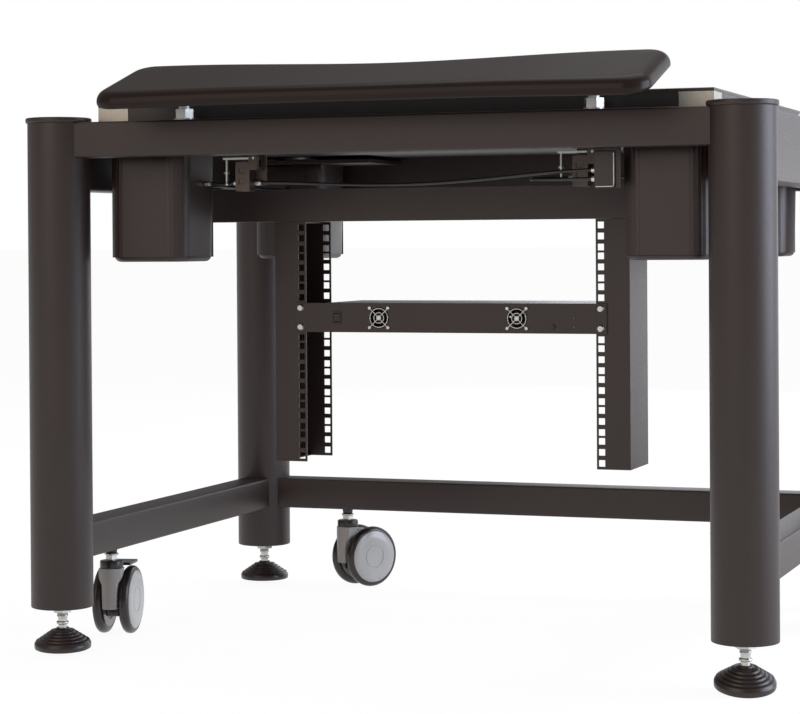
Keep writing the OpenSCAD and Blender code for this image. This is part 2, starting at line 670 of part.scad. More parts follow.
module lever(k) {
  // A flat lever with its pivot pin, and an adjusting rod with thumb nut and ball end
  p = valve_spots[k];
  color(zinc) translate([p[0], p[1], 0]) {
    translate([lever_pivot_x + 3 - lever_l, -4.5, lever_pivot_z - 1.5]) cube([lever_l, 9, 3]);
    translate([lever_pivot_x, 11.5, lever_pivot_z]) rotate([90, 0, 0]) cylinder(d = 3.96, h = 24);
    translate([lever_pivot_x - lever_l + 7, 0, 0]) {
      translate([0, 0, lever_pivot_z - 36]) cylinder(d = 4, h = 36);
      translate([0, 0, lever_pivot_z - 22]) cylinder(d = 9, h = 3);
      translate([0, 0, lever_pivot_z - 36]) sphere(d = 5.5, $fn = 24);
    }
  }
}
module lever_front_left() placed() { lever(0); }
module lever_front_right() placed() { lever(1); }
module lever_rear() placed() { lever(2); }

// The manifold behind the control panel takes the supply and feeds the valves
manifold_y = -in_y + 5.3;
manifold_d = 26;
manifold_z = front_beam_low - 48;
module air_manifold() placed() {
  color([0.36, 0.33, 0.31]) translate([control_x - 12, manifold_y, manifold_z]) difference() {
    cube([24, manifold_d, 38]);
    translate([12, manifold_d + 1, 20]) rotate([90, 0, 0]) cylinder(d = 5, h = 6);
    for (dz = [8, 20]) translate([-1, manifold_d / 2, dz]) rotate([0, 90, 0]) cylinder(d = 5, h = 6);
  }
}

// Push-in fittings: [base point, direction it faces], on the valves, the manifold and the cups
port_y = 7.5;
port_z = valve_top - 30;
cup_side = cup_x - cup_w / 2;
valve_side = valve_w / 2;
fitting_l = 10;
function valve_port(k, side) =
  [valve_spots[k][0] + side * (valve_side + seat), valve_spots[k][1] + port_y, port_z];
function cup_port(sx, y) = [sx * (cup_side - seat), y, port_z];
manifold_port = [control_x - 12 - seat, manifold_y + manifold_d / 2, manifold_z];
fittings = concat(
  [for (k = [0:2], side = [-1, 1]) [valve_port(k, side), [side, 0, 0]]],
  [for (dz = [8, 20]) [manifold_port + [0, 0, dz], [-1, 0, 0]]],
  [[[control_x, manifold_y + manifold_d + seat, manifold_z + 20], [0, 1, 0]]],
  [[cup_port(-1, -valve_y + port_y), [1, 0, 0]], [cup_port(1, -valve_y + port_y), [-1, 0, 0]],
   [cup_port(1, valve_y + port_y), [-1, 0, 0]]],
  [for (s = [-1, 1]) [[-cup_x, s * (cup_y - cup_w / 2 - seat), port_z], [0, -s, 0]]]);

module push_in_fittings() placed() {
  color(zinc) for (f = fittings) translate(f[0])
    rotate(f[1][1] == 0 ? [0, 90 * f[1][0], 0] : [-90 * f[1][1], 0, 0]) difference() {
      union() {
        cylinder(d = 8, h = fitting_l - 3);
        translate([0, 0, fitting_l - 4]) cylinder(d = 7, h = 4);
      }
      translate([0, 0, 2]) cylinder(d = hose_d + 0.6, h = fitting_l);
    }
}

// Air hoses: each leaves one fitting and enters another on one smooth curve
function mouth(f) = f[0] + 8 * f[1];
function curve_point(p, q, u, v, drop, t) =
  pow(1 - t, 3) * p + 3 * pow(1 - t, 2) * t * (p + u) + 3 * (1 - t) * t * t * (q + v) + pow(t, 3) * q
  - [0, 0, drop * 4 * t * (1 - t) * 4 * t * (1 - t)];
// Each hose: [fitting it leaves, fitting it enters, the two straight pulls, sag, rings]
hose_ends = [
  [7, 1, 150, 150, 10, 12], [8, 4, 200, 190, 2, 18], [6, 2, 120, 70, 0, 12],
  [0, 9, 15, 15, 2, 4], [3, 10, 15, 15, 2, 4], [5, 11, 15, 15, 2, 4], [12, 13, 60, 60, 1, 8]
];
hose_sides = 8;
function hose_point(e, t) = curve_point(mouth(fittings[e[0]]), mouth(fittings[e[1]]),
  e[2] * fittings[e[0]][1], e[3] * fittings[e[1]][1], e[4], t);
function unit_of(v) = v / norm(v);
function hose_way(e, i) = i == 0 ? fittings[e[0]][1] : i == e[5] ? -fittings[e[1]][1]
  : unit_of(hose_point(e, (i + 0.5) / e[5]) - hose_point(e, (i - 0.5) / e[5]));
function hose_ring(e, i) = let(way = hose_way(e, i), side = unit_of(cross(way, [0, 0, 1])), up = cross(side, way))
  [for (k = [0:hose_sides - 1]) hose_point(e, i / e[5])
    + hose_d / 2 * (cos(k * 360 / hose_sides) * side + sin(k * 360 / hose_sides) * up)];
module hose(e) {
  n = hose_sides;
  polyhedron(
    points = [for (i = [0:e[5]]) each hose_ring(e, i)],
    faces = concat([[for (k = [0:n - 1]) k]], [[for (k = [n - 1:-1:0]) e[5] * n + k]],
      [for (i = [0:e[5] - 1], k = [0:n - 1]) [i * n + k, (i + 1) * n + k, (i + 1) * n + (k + 1) % n]],
      [for (i = [0:e[5] - 1], k = [0:n - 1]) [i * n + k, (i + 1) * n + (k + 1) % n, i * n + (k + 1) % n]]));
}
module air_hoses() placed() {
  color("#1c1a19") for (e = hose_ends) hose(e);
}

nut_t = 8;
foot_af = 1.5 * stem_d;
module foot_locknuts() placed() {
  color(zinc) at_corners() translate([0, 0, leg_clear - nut_t - 0.01]) difference() {
    cylinder(d = foot_af / cos(30), h = nut_t, $fn = 6);
    translate([0, 0, -1]) cylinder(d = stem_d + 0.12, h = nut_t + 2);
  }
}

foot_neck = 30;
module foot(k) {
  // A moulded pad with stepped rings and a threaded stem with a collar that screws up into the leg
  c = corner_signs[k];
  step = (foot_d / 2 - 15) / 5;
  color(black_plastic) translate([c[0] * leg_x, c[1] * leg_y, 0]) {
    rotate_extrude() polygon(concat([[0, 0], [foot_d / 2 - 2, 0], [foot_d / 2, 2], [foot_d / 2, 9]],
      [for (i = [0:4]) for (j = [0, 1]) [foot_d / 2 - 1.4 - (i + j * 0.4) * step, 11 + i * 3.4 + j * 2.6]],
      [[10, 28], [9, foot_neck], [0, foot_neck]]));
    translate([0, 0, foot_neck - 1]) cylinder(d = stem_d - 3, h = 10);
    translate([0, 0, foot_neck + 5]) cylinder(d = 1.1 * stem_d, h = 4);
    translate([0, 0, foot_neck + 8]) cylinder(d = stem_d, h = leg_clear + 38 - foot_neck - 4);
  }
}
module foot_front_left() placed() { foot(0); }
module foot_front_right() placed() { foot(1); }
module foot_rear_left() placed() { foot(2); }
module foot_rear_right() placed() { foot(3); }

// Castors: swivel axis in X and Y, then the direction in which the axle trails
castor_spots = [[-leg_x, -leg_y + castor_off, 101], [leg_x, leg_y - castor_right, -75],
                [-leg_x + castor_off, leg_y, 59], [leg_x - castor_off, leg_y, 100]];
axle_z = wheel_d / 2 - wheel_drop;
swivel_top = low_beam_low - 20;
module castor_stems() placed() {
  // The stem through the beam's lower wall, a nut inside, and a nut and boss below
  color(zinc) for (c = castor_spots) translate([c[0], c[1], 0]) {
    translate([0, 0, swivel_top - 17]) cylinder(d = castor_stem_d, h = 17 + 20 + 14);
    translate([0, 0, low_beam_low + beam_wall + 0.01]) cylinder(d = 19 / cos(30), h = 8, $fn = 6);
    translate([0, 0, low_beam_low - 9.01]) cylinder(d = 18, h = 9);
    translate([0, 0, swivel_top + 2]) cylinder(d = 19 / cos(30), h = 10, $fn = 6);
  }
}

module at_castor(k) {
  c = castor_spots[k];
  translate([c[0], c[1], 0]) rotate(c[2]) children();
}

gap_w = castor_w - 2 * wheel_w;
pedal_x = 24;
pedal_z = axle_z + wheel_d / 2 - 1.9;
module wheel_room() {
  // The space the two wheels turn in
  for (s = [-1, 1]) translate([trail, s * (gap_w / 2 - 0.5), axle_z]) rotate([s > 0 ? -90 : 90, 0, 0])
    cylinder(d = wheel_d + 1.4, h = wheel_w + 8);
}
module castor_fork(k) {
  // The cap round the stem with its shield in front, the arm between the wheels, the pedal's lug and the axle
  body_w = gap_w - 1.2;
  color(grey_plastic) at_castor(k) {
    difference() {
      union() {
        translate([0, 0, swivel_top - 36]) cylinder(d = 35, h = 36);
        translate([-16.5, -body_w / 2, swivel_top - 61]) cube([24, body_w, 50]);
        translate([-13, -body_w / 2, swivel_top - 70]) cube([18, body_w, 12]);
        translate([0, 0, swivel_top - 28]) hull() {
          translate([-13, -body_w / 2, 0]) cube([26, body_w, 6]);
          translate([trail - 2, 0, -6]) rotate([90, 0, 0]) cylinder(d = 22, h = body_w, center = true, $fn = 32);
        }
        hull() {
          translate([-12, -body_w / 2, swivel_top - 24]) cube([20, body_w, 4]);
          translate([trail, 0, axle_z]) rotate([90, 0, 0]) cylinder(d = 26, h = body_w, center = true, $fn = 32);
          translate([trail - 14, 0, swivel_top - 36]) rotate([90, 0, 0]) cylinder(d = 20, h = body_w, center = true, $fn = 32);
        }
        translate([8, -3.4, swivel_top - 36]) cube([pedal_x - 4, 6.8, pedal_z - swivel_top + 36 + 3.6]);
      }
      wheel_room();
      translate([pedal_x, 10, pedal_z]) rotate([90, 0, 0]) cylinder(d = 4.06, h = 20);
      translate([0, 0, swivel_top - 18]) cylinder(d = castor_stem_d + 0.12, h = 30);
    }
    translate([trail, 0, axle_z]) rotate([90, 0, 0]) cylinder(d = 9.94, h = castor_w - 4, center = true);
  }
}
module castor_fork_left_side() placed() { castor_fork(0); }
module castor_fork_right_side() placed() { castor_fork(1); }
module castor_fork_rear_left() placed() { castor_fork(2); }
module castor_fork_rear_right() placed() { castor_fork(3); }

module castor_wheels(k) {
  // Two wheels on one axle, joined by a thin sleeve's worth of clearance only at the axle
  color("#2a2a2c") at_castor(k) translate([trail, 0, axle_z]) for (s = [-1, 1])
    translate([0, s * (gap_w / 2), 0]) rotate([s > 0 ? -90 : 90, 0, 0]) rotate_extrude($fn = 96) polygon([
      [5, 0], [wheel_d / 2 - 8, 0], [wheel_d / 2 - 2, 2.5], [wheel_d / 2, 7], [wheel_d / 2, wheel_w - 8],
      [wheel_d / 2 - 2, wheel_w - 3.5], [wheel_d / 2 - 6.5, wheel_w - 1], [wheel_d / 2 - 10, wheel_w],
      [19, wheel_w], [18, wheel_w - 1.5], [16, wheel_w - 1.5], [15, wheel_w], [8, wheel_w], [5, wheel_w - 1]]);
}
module castor_wheels_left_side() placed() { castor_wheels(0); }
module castor_wheels_right_side() placed() { castor_wheels(1); }
module castor_wheels_rear_left() placed() { castor_wheels(2); }
module castor_wheels_rear_right() placed() { castor_wheels(3); }

module brake_pedal(k) {
  // A pedal over the wheels, with two ears and a pin that turns in the fork's lug
  color(black_plastic) at_castor(k) {
    translate([pedal_x - 4, -castor_w / 2 + 6, pedal_z + 4.2]) cube([42, castor_w - 12, 4]);
    for (s = [-1, 1]) translate([pedal_x, s * 5.2 + 1.3, pedal_z]) rotate([90, 0, 0]) cylinder(d = 8, h = 2.6);
    for (s = [-1, 1]) translate([pedal_x - 4, s * 5.2 - 1.3, pedal_z]) cube([8, 2.6, 5]);
    translate([pedal_x, 6, pedal_z]) rotate([90, 0, 0]) cylinder(d = 3.96, h = 12);
  }
}
module brake_pedal_left_side() placed() { brake_pedal(0); }
module brake_pedal_right_side() placed() { brake_pedal(1); }

legs();
leg_caps();
front_upper_beam();
rear_upper_beam();
left_upper_beam();
right_upper_beam();
left_lower_beam();
right_lower_beam();
rear_lower_beam();
corner_plates();
rack_beam();
isolator_cups();
isolator_pistons();
isolator_diaphragms();
breadboard_top_skin();
breadboard_core();
breadboard_shell();
breadboard_corner_blocks();
armrest_pad();
armrest_plate();
armrest_studs();
rack_left_channel();
rack_right_channel();
rack_screws();
module_panel();
module_chassis();
module_lid();
fan_housings();
fan_guards();
fan_rotor_left();
fan_rotor_right();
switch_housing();
rocker_switch();
push_button();
indicator_lights();
control_panel();
control_bracket();
air_manifold();
levelling_valves();
push_in_fittings();
air_hoses();
lever_front_left();
lever_front_right();
lever_rear();
foot_locknuts();
foot_front_left();
foot_front_right();
foot_rear_left();
foot_rear_right();
castor_stems();
castor_fork_left_side();
castor_fork_right_side();
castor_fork_rear_left();
castor_fork_rear_right();
castor_wheels_left_side();
castor_wheels_right_side();
castor_wheels_rear_left();
castor_wheels_rear_right();
brake_pedal_left_side();
brake_pedal_right_side();
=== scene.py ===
# A vibration isolation workstation in powder coated steel: a floating breadboard on four air isolators,
# a padded armrest, a hanging rack with one module, levelling feet and twin wheel castors.
from math import radians, sin, cos, pi
import bmesh
import bpy
from mathutils import Matrix, Vector


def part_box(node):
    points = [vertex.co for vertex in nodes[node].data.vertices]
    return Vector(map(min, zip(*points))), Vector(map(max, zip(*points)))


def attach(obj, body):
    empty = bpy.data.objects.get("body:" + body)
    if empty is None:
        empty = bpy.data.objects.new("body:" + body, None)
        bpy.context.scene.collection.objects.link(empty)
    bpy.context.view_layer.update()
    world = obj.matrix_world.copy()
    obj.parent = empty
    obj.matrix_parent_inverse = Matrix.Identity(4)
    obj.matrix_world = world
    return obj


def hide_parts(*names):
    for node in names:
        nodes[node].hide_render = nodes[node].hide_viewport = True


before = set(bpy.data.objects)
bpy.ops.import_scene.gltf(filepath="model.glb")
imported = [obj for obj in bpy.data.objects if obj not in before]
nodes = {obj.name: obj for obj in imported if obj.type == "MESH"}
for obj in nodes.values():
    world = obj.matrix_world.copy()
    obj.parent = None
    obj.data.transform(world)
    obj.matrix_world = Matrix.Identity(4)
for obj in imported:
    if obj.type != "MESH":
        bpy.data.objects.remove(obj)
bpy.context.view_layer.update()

# Camera, as in the photograph: a long lens, a little below the armrest, looking in from the right.
# The drawn pieces and the camera are set out from the middle of the four legs, with heights from the feet's
# undersides; the shared frame's origin is on the floor below the middle of the outline, this far away.
back = Vector((0, 0.025465, 0.0085))
lens_px, axis_px = 2339.96, (410.62, 262.11)
photo_width, photo_height, sensor_mm = 800, 714, 36
yaw, pitch, roll = radians(19.70), radians(-0.50), radians(-0.38)
ahead = Vector((-sin(yaw) * cos(pitch), cos(yaw) * cos(pitch), sin(pitch)))
level = Vector((cos(yaw), sin(yaw), 0))
up = level.cross(ahead)
right = cos(roll) * level + sin(roll) * up
up = cos(roll) * up - sin(roll) * level
camera_data = bpy.data.cameras.new("camera")
camera_data.sensor_width = sensor_mm
camera_data.lens = lens_px * sensor_mm / photo_width
camera_data.shift_x = (photo_width / 2 - axis_px[0]) / photo_width
camera_data.shift_y = (axis_px[1] - photo_height / 2) / photo_width
camera = bpy.data.objects.new("camera", camera_data)
bpy.context.scene.collection.objects.link(camera)
camera_spot = Vector((1.1085, -3.3530, 0.5796)) + back
camera.matrix_world = Matrix.Translation(camera_spot) @ Matrix((
    (right.x, up.x, -ahead.x), (right.y, up.y, -ahead.y), (right.z, up.z, -ahead.z))).to_4x4()
bpy.context.scene.camera = camera


# Air hoses: smooth black polyurethane tube, 5 mm across, pushed into fittings at both ends.
# They run under the breadboard from the manifold to the levelling valves and the isolators.
def linear(hexa):
    """An sRGB hex colour as the linear colour that a shader takes."""
    parts = [int(hexa[i:i + 2], 16) / 255 for i in (1, 3, 5)]
    return tuple(c / 12.92 if c <= 0.04045 else ((c + 0.055) / 1.055) ** 2.4 for c in parts) + (1.0,)


def add(tree, kind, inputs=None, **settings):
    """Adds one node: its settings by name, and its inputs by name or number, as values or links."""
    new = tree.nodes.new(kind)
    for key, value in settings.items():
        setattr(new, key, value)
    for key, value in (inputs or {}).items():
        if isinstance(value, bpy.types.NodeSocket):
            tree.links.new(value, new.inputs[key])
        else:
            new.inputs[key].default_value = value
    return new


def new_material(name):
    """A new material and its tree, with no nodes yet."""
    material = bpy.data.materials.new(name)
    material.use_nodes = True
    tree = material.node_tree
    tree.nodes.clear()
    return material, tree


def surface(tree, shader):
    """Gives a material its output, fed by a finished shader."""
    add(tree, "ShaderNodeOutputMaterial", {"Surface": shader.outputs[0]})


def shaded(colour, factor, lift=0.0):
    """A linear colour made lighter or darker, never past white."""
    return [min(1.0, c * factor + lift) for c in colour[:3]] + [1.0]


def blended(tree, factor, a, b):
    """Two colours mixed by a factor."""
    return add(tree, "ShaderNodeMix", {"Factor": factor, "A": a, "B": b}, data_type="RGBA").outputs["Result"]


def rubbed_edges(tree, most):
    """The normal with its edges rounded, and a factor that rises to most where they are rubbed."""
    soft = add(tree, "ShaderNodeBevel", {"Radius": 0.0012}, samples=4).outputs[0]
    plain = add(tree, "ShaderNodeNewGeometry").outputs["Normal"]
    turn = add(tree, "ShaderNodeVectorMath", {0: soft, 1: plain}, operation="DOT_PRODUCT").outputs["Value"]
    worn = add(tree, "ShaderNodeMapRange",
               {"Value": turn, "From Min": 0.995, "From Max": 0.85, "To Max": most})
    return soft, worn.outputs[0]


def smooth_plastic(name, colour, roughness, grain_mm=0.0, depth=0.15, coat=0.0):
    """Moulded plastic or rubber: one colour with a faint mottle, a spark grain and rubbed edges."""
    material, tree = new_material(name)
    place = add(tree, "ShaderNodeTexCoord").outputs["Object"]
    cloud = add(tree, "ShaderNodeTexNoise", {"Vector": place, "Scale": 22.0, "Detail": 4.0}).outputs["Fac"]
    soft, worn = rubbed_edges(tree, 0.22)
    base = linear(colour)
    shade = blended(tree, cloud, base, shaded(base, 1.35, 0.004))
    tint = blended(tree, worn, shade, shaded(base, 2.2, 0.02))
    rough = add(tree, "ShaderNodeMapRange",
                {"Value": cloud, "To Min": roughness - 0.05, "To Max": roughness + 0.07})
    inputs = {"Base Color": tint, "Roughness": rough.outputs[0], "Coat Weight": coat, "Coat Roughness": 0.12,
              "Normal": soft}
    if grain_mm:
        grit = add(tree, "ShaderNodeTexNoise", {"Vector": place, "Scale": 1000 / grain_mm, "Detail": 2.0})
        inputs["Normal"] = add(tree, "ShaderNodeBump", {
            "Height": grit.outputs["Fac"], "Strength": depth, "Distance": 0.0004, "Normal": soft}).outputs[0]
    surface(tree, add(tree, "ShaderNodeBsdfPrincipled", inputs))
    return material


hose_black = smooth_plastic("polyurethane_tube_black", "#0E0C0C", 0.34)
hose_radius, hose_grip, hose_steps = 0.0025, 0.008, 32
side_x, valve_y, port_y, port_z = 0.251, 0.258, 0.0075, 0.666
valve_reach, cup_port_x, rear_port_x, rear_port_y = 0.0113, 0.3187, 0.381, 0.1997

# Each fitting is a place and the way it faces. Fittings 0 to 5 are on the valves, 6 to 8 on the manifold
# and 9 to 13 on the cups.
fittings = [((sx * side_x + s * valve_reach, sy * valve_y + port_y, port_z), (s, 0, 0))
            for sx, sy in ((-1, -1), (1, -1), (1, 1)) for s in (-1, 1)]
fittings += [((0.2917, -0.3227, z), (-1, 0, 0)) for z in (0.662, 0.674)]
fittings += [((0.304, -0.3094, 0.674), (0, 1, 0))]
fittings += [((sx * cup_port_x, sy * valve_y + port_y, port_z), (-sx, 0, 0))
             for sx, sy in ((-1, -1), (1, -1), (1, 1))]
fittings += [((-rear_port_x, s * rear_port_y, port_z), (0, -s, 0)) for s in (-1, 1)]

# Each hose runs from one fitting to another. The last three numbers are how far it keeps its way at either
# end, and its sag, in metres.
hose_ends = {
    "manifold_to_left_valve": (7, 1, 0.150, 0.150, 0.010),
    "manifold_to_rear_valve": (8, 4, 0.200, 0.190, 0.002),
    "manifold_to_right_valve": (6, 2, 0.120, 0.070, 0.0),
    "left_valve_to_cup": (0, 9, 0.015, 0.015, 0.002),
    "right_valve_to_cup": (3, 10, 0.015, 0.015, 0.002),
    "rear_valve_to_cup": (5, 11, 0.015, 0.015, 0.002),
    "cup_to_cup": (12, 13, 0.060, 0.060, 0.001)}
for name, (first, last, pull, push, sag) in hose_ends.items():
    (a, way_a), (b, way_b) = fittings[first], fittings[last]
    u, v = Vector(way_a), Vector(way_b)
    a, b = Vector(a) + back + hose_grip * u, Vector(b) + back + hose_grip * v
    points = []
    for i in range(hose_steps + 1):
        t = i / hose_steps
        hump = 4 * t * (1 - t)
        bend = (1 - t) ** 3 * a + 3 * (1 - t) ** 2 * t * (a + pull * u)
        bend += 3 * (1 - t) * t * t * (b + push * v)
        points.append(bend + t ** 3 * b - Vector((0, 0, sag * hump * hump)))
    curve = bpy.data.curves.new("air_hose_" + name, "CURVE")
    curve.dimensions = "3D"
    curve.bevel_depth = hose_radius
    curve.bevel_resolution = 3
    curve.use_fill_caps = True
    line = curve.splines.new("POLY")
    line.points.add(len(points) - 1)
    for spot, p in zip(line.points, points):
        spot.co = (*p, 1)
    line.use_smooth = True
    curve.materials.append(hose_black)
    hose = bpy.data.objects.new("air_hose_" + name, curve)
    bpy.context.scene.collection.objects.link(hose)
    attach(hose, "frame")
    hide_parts("air_hoses")


# Floor and light: a plain pale floor and wide soft lamps, as in a photographer's white studio.
# The right side gets a cooler lamp, so that faces turned that way read blue-grey.
floor_size, floor_veil, floor_glow, room_light = 200, 0.9, 1.05, 0.36
floor_white, tree = new_material("studio_floor")
path = add(tree, "ShaderNodeLightPath").outputs
seen = add(tree, "ShaderNodeMath", {0: path["Is Camera Ray"], 1: path["Is Glossy Ray"]}, operation="MAXIMUM")
seen = add(tree, "ShaderNodeMath", {0: seen.outputs[0], 1: path["Is Transmission Ray"]}, operation="MAXIMUM")
veil = add(tree, "ShaderNodeMath", {0: seen.outputs[0], 1: floor_veil}, operation="MULTIPLY")
matt = add(tree, "ShaderNodeBsdfDiffuse", {"Color": linear("#F4F4F4")})
white = add(tree, "ShaderNodeEmission", {"Color": (1, 1, 1, 1), "Strength": floor_glow})
mixed = add(tree, "ShaderNodeMixShader", {"Fac": veil.outputs[0], 1: matt.outputs[0], 2: white.outputs[0]})
surface(tree, mixed)
ground = bmesh.new()
bmesh.ops.create_grid(ground, x_segments=1, y_segments=1, size=floor_size)
floor_mesh = bpy.data.meshes.new("studio_floor")
ground.to_mesh(floor_mesh)
ground.free()
floor = bpy.data.objects.new("studio_floor", floor_mesh)
bpy.context.scene.collection.objects.link(floor)
floor_mesh.materials.append(floor_white)

world = bpy.data.worlds.new("studio")
world.use_nodes = True
bpy.context.scene.world = world
tree = world.node_tree
tree.nodes.clear()
path = add(tree, "ShaderNodeLightPath").outputs
seen = add(tree, "ShaderNodeMath",
           {0: path["Is Camera Ray"], 1: path["Is Transmission Ray"]}, operation="MAXIMUM")
room = add(tree, "ShaderNodeBackground", {"Color": linear("#EEECEA"), "Strength": room_light})
white = add(tree, "ShaderNodeBackground", {"Color": (1, 1, 1, 1), "Strength": 1.0})
mixed = add(tree, "ShaderNodeMixShader", {"Fac": seen.outputs[0], 1: room.outputs[0], 2: white.outputs[0]})
add(tree, "ShaderNodeOutputWorld", {"Surface": mixed.outputs[0]})
lamp_target = Vector((0, 0, 0.45))
for name, spot, size, power, colour in (
        ("lamp_front_left", (-1.0, -3.7, 2.1), 2.8, 42, "#FFE8D8"),
        ("lamp_right", (3.8, 0.7, 1.2), 3.0, 190, "#E2ECFF"),
        ("lamp_behind", (0.9, 5.2, 1.0), 5.0, 110, "#F4F8FF"),
        ("lamp_over", (0.2, 0.6, 3.4), 2.6, 32, "#FFFFFF")):
    data = bpy.data.lights.new(name, "AREA")
    data.shape = "SQUARE"
    data.size = size
    data.energy = power
    data.color = linear(colour)[:3]
    lamp = bpy.data.objects.new(name, data)
    bpy.context.scene.collection.objects.link(lamp)
    lamp.location = spot
    lamp.visible_camera = False
    lamp.rotation_euler = (lamp_target - Vector(spot)).to_track_quat("-Z", "Y").to_euler()


# Legs and caps: thick walled round steel tube, cut square, with a flat turned cap pressed on top.
# All of the frame is powder coated black, which dries with a fine orange peel and looks warm brown
# in soft light. A plate with a hole for the foot's stem closes each tube at its lower end.
def powder_coat(name, colour="#281C19", roughness=0.42):
    """Semi-matt powder coat: low mottle of a few centimetres, orange peel of 1.5 mm, thin at the edges."""
    material, tree = new_material(name)
    place = add(tree, "ShaderNodeTexCoord").outputs["Object"]
    cloud = add(tree, "ShaderNodeTexNoise", {"Vector": place, "Scale": 9.0, "Detail": 5.0, "Roughness": 0.6})
    peel = add(tree, "ShaderNodeTexNoise", {"Vector": place, "Scale": 650.0, "Detail": 2.0}).outputs["Fac"]
    specks = add(tree, "ShaderNodeTexVoronoi", {"Vector": place, "Scale": 420.0}).outputs["Distance"]
    soft, thin = rubbed_edges(tree, 0.3)
    base = linear(colour)
    shade = blended(tree, cloud.outputs["Fac"], base, shaded(base, 1.28))
    tint = blended(tree, thin, shade, linear("#5A5350"))
    rough = add(tree, "ShaderNodeMapRange", {
        "Value": specks, "From Max": 0.6, "To Min": roughness - 0.08, "To Max": roughness + 0.06})
    bump = add(tree, "ShaderNodeBump", {"Height": peel, "Strength": 0.22, "Distance": 0.0004, "Normal": soft})
    surface(tree, add(tree, "ShaderNodeBsdfPrincipled", {
        "Base Color": tint, "Roughness": rough.outputs[0], "Normal": bump.outputs[0],
        "Specular IOR Level": 0.5}))
    return material


def dress(material, *names):
    """Gives a carried over piece of the frame its finish."""
    for name in names:
        mesh = nodes[name].data
        mesh.materials.clear()
        mesh.materials.append(material)


def piece(name, made, body, material, stands_for=(), sharp=32):
    """Moves a finished bmesh into the shared frame and makes it a piece that rides on a body."""
    bmesh.ops.translate(made, vec=back, verts=made.verts[:])
    mesh = bpy.data.meshes.new(name)
    made.to_mesh(mesh)
    made.free()
    mesh.shade_smooth()
    mesh.set_sharp_from_angle(angle=radians(sharp))
    mesh.materials.append(material)
    new = bpy.data.objects.new(name, mesh)
    bpy.context.scene.collection.objects.link(new)
    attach(new, body)
    if stands_for:
        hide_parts(*stands_for)
    return new


def turned(made, profile, centre, axis=(0, 0, 1), steps=48):
    """Spins a line of (radius, height) points round an axis, as on a lathe, and closes its poles."""
    corners = [made.verts.new((r, 0, h)) for r, h in profile]
    edges = [made.edges.new(pair) for pair in zip(corners, corners[1:])]
    before = set(made.verts) - set(corners)
    bmesh.ops.spin(made, geom=corners + edges, cent=(0, 0, 0), axis=(0, 0, 1), angle=2 * pi, steps=steps,
                   use_merge=True)
    new = [v for v in made.verts if v not in before]
    bmesh.ops.remove_doubles(made, verts=new, dist=1e-6)
    new = [v for v in made.verts if v not in before]
    faces = list({f for v in new for f in v.link_faces})
    bmesh.ops.recalc_face_normals(made, faces=faces)
    tip = Vector((0, 0, 1)).rotation_difference(Vector(axis)).to_matrix()
    bmesh.ops.rotate(made, verts=new, cent=(0, 0, 0), matrix=tip)
    bmesh.ops.translate(made, verts=new, vec=centre)


def rounded(made, edges, radius, segments, clamp=False):
    """Rounds edges of a bmesh."""
    bmesh.ops.bevel(made, geom=edges, offset=radius, affect="EDGES", segments=segments, profile=0.5,
                    material=-1, clamp_overlap=clamp)


def block(made, low, high, radius, segments=3, along=None):
    """A block between two corners, its edges rounded: all of them, or only those that run along an axis."""
    low, high = Vector(low), Vector(high)
    verts = bmesh.ops.create_cube(made, size=1)["verts"]
    bmesh.ops.scale(made, vec=high - low, verts=verts)
    bmesh.ops.translate(made, vec=(low + high) / 2, verts=verts)
    edges = list({e for v in verts for e in v.link_edges})
    if along is not None:
        edges = [e for e in edges if abs((e.verts[0].co - e.verts[1].co).normalized()[along]) > 0.9]
    rounded(made, edges, radius, segments, clamp=True)


black_coat = powder_coat("powder_coat_black")
leg_x, leg_y = 0.495, 0.366
leg_spots = [(sx * leg_x, sy * leg_y) for sx in (-1, 1) for sy in (-1, 1)]
tube_bore, tube_radius, tube_foot, tube_top = 0.0405, 0.04445, 0.060, 0.752
plate_hole, plate_low, plate_high = 0.0084, 0.061, 0.066
tube_line = [(tube_bore, 0.073), (tube_bore, 0.0608), (0.0412, 0.0602), (0.0428, tube_foot), (0.0441, 0.0606),
             (tube_radius, 0.062), (tube_radius, tube_top), (tube_bore, tube_top)]
plate_line = [(plate_hole, plate_low), (tube_bore, plate_low), (tube_bore, plate_high),
              (plate_hole, plate_high), (plate_hole, plate_low)]
cap_line = [(0.0440, 0.7521), (0.0462, 0.7521), (0.0468, 0.7527), (0.0470, 0.7535), (0.0470, 0.7572),
            (0.0466, 0.7585), (0.0456, 0.7592), (0.0440, 0.7595), (0, 0.7595)]
tube, caps = bmesh.new(), bmesh.new()
for x, y in leg_spots:
    turned(tube, tube_line, (x, y, 0), steps=72)
    turned(tube, plate_line, (x, y, 0))
    turned(caps, cap_line, (x, y, 0), steps=72)
piece("leg_tubes", tube, "frame", black_coat, ["legs"])
piece("leg_top_caps", caps, "frame", black_coat, ["leg_caps"])

# Beams: rectangular steel tube with rounded corners, saddle cut and welded to the legs, then coated.
# The three lower beams tie the legs together; the front is left open for the user's knees.
beam_corner, along_x, along_y = 0.0032, 0, 1
beams = {"front_upper_beam": along_x, "rear_upper_beam": along_x, "left_upper_beam": along_y,
         "right_upper_beam": along_y, "left_lower_beam": along_y, "right_lower_beam": along_y,
         "rear_lower_beam": along_x}
for name, run in beams.items():
    low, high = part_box(name)
    bar = bmesh.new()
    block(bar, Vector(low) - back, Vector(high) - back, beam_corner, segments=4, along=run)
    piece(name + "_tube", bar, "frame", black_coat, [name])
dress(black_coat, "corner_plates", "rack_beam", "armrest_plate", "control_bracket", "module_chassis")

